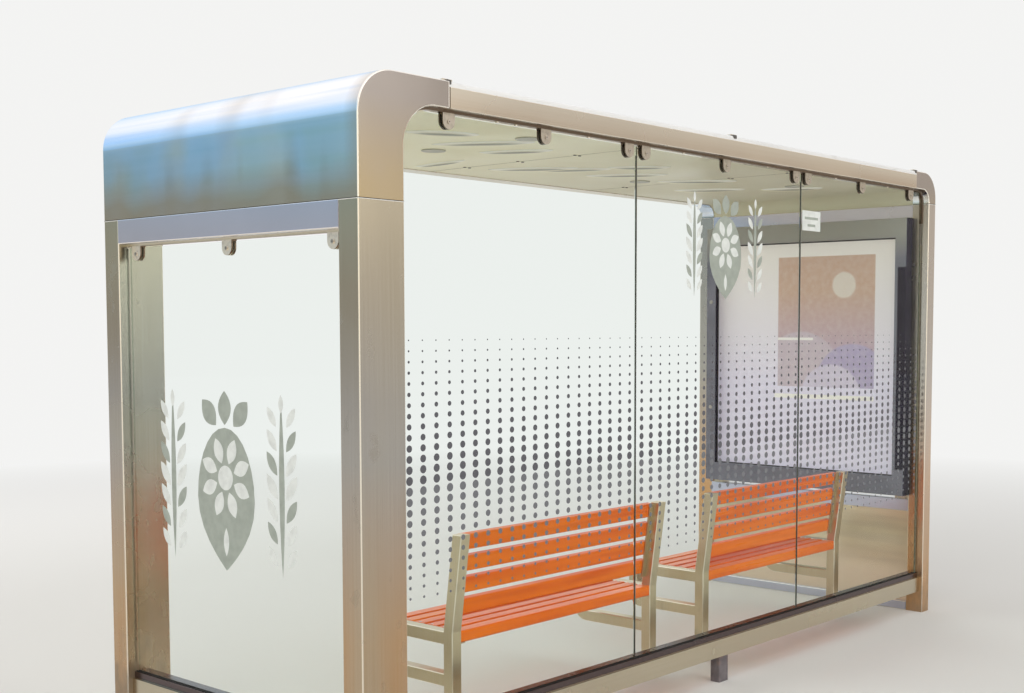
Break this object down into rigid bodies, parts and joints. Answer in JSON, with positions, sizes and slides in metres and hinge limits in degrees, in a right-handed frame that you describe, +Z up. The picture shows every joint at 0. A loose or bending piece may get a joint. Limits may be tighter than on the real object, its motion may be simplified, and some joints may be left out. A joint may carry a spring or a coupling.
{
  "type": "bus shelter with two benches and a poster case",
  "caption": "Bus shelter of brushed stainless box sections with glass rear and end walls, a rounded roof end, two slatted benches and a poster case",
  "frame": {"origin": "on the ground below the middle of the shelter", "axes": "+X towards the end with the large rounded cap, +Y towards the glazed rear side, -Y towards the open road side, +Z up"},
  "size_m": [4.16, 1.53, 2.447],
  "materials": {
    "brushed_steel": "satin brushed stainless steel",
    "bench_steel": "satin stainless tube",
    "dark_steel": "dark satin metal",
    "roof_sheet": "bright sheet edge",
    "ceiling_panel": "cream white paint",
    "clear_glass": "clear toughened glass with a green edge",
    "case_paint": "dark grey satin paint",
    "poster_panel": "white translucent poster panel",
    "varnished_wood": "orange-brown varnished slats"
  },
  "bodies": {
    "root": {"right_rear_post": "brushed_steel", "right_front_post": "brushed_steel", "left_rear_post": "brushed_steel", "left_front_post": "brushed_steel", "right_end_cap": "brushed_steel", "left_end_cap": "brushed_steel", "rear_roof_beam": "brushed_steel", "front_roof_beam": "brushed_steel", "right_top_rail": "brushed_steel", "left_top_rail": "brushed_steel", "rear_bottom_rail": "brushed_steel", "right_bottom_rail": "brushed_steel", "left_bottom_rail": "brushed_steel", "left_middle_rail": "brushed_steel", "left_panel": "brushed_steel", "rear_middle_foot": "brushed_steel", "case_brackets": "brushed_steel", "roof_deck": "roof_sheet", "roof_seams": "roof_sheet", "ceiling": "ceiling_panel", "right_cap_lining": "ceiling_panel", "left_cap_lining": "ceiling_panel", "rear_hanger": "dark_steel", "right_hanger": "dark_steel", "rear_clamps": "dark_steel", "right_clamps": "dark_steel", "rear_glass_right": "clear_glass", "rear_glass_middle": "clear_glass", "rear_glass_left": "clear_glass", "right_glass": "clear_glass", "case_inner_glass": "clear_glass", "case_outer_glass": "clear_glass", "case_body": "case_paint", "case_inner_frame": "case_paint", "case_outer_frame": "case_paint", "inner_poster": "poster_panel", "outer_poster": "poster_panel", "right_bench_right_frame": "bench_steel", "right_bench_left_frame": "bench_steel", "right_bench_seat": "varnished_wood", "right_bench_back": "varnished_wood", "left_bench_right_frame": "bench_steel", "left_bench_left_frame": "bench_steel", "left_bench_seat": "varnished_wood", "left_bench_back": "varnished_wood"}
  },
  "joints": []
}
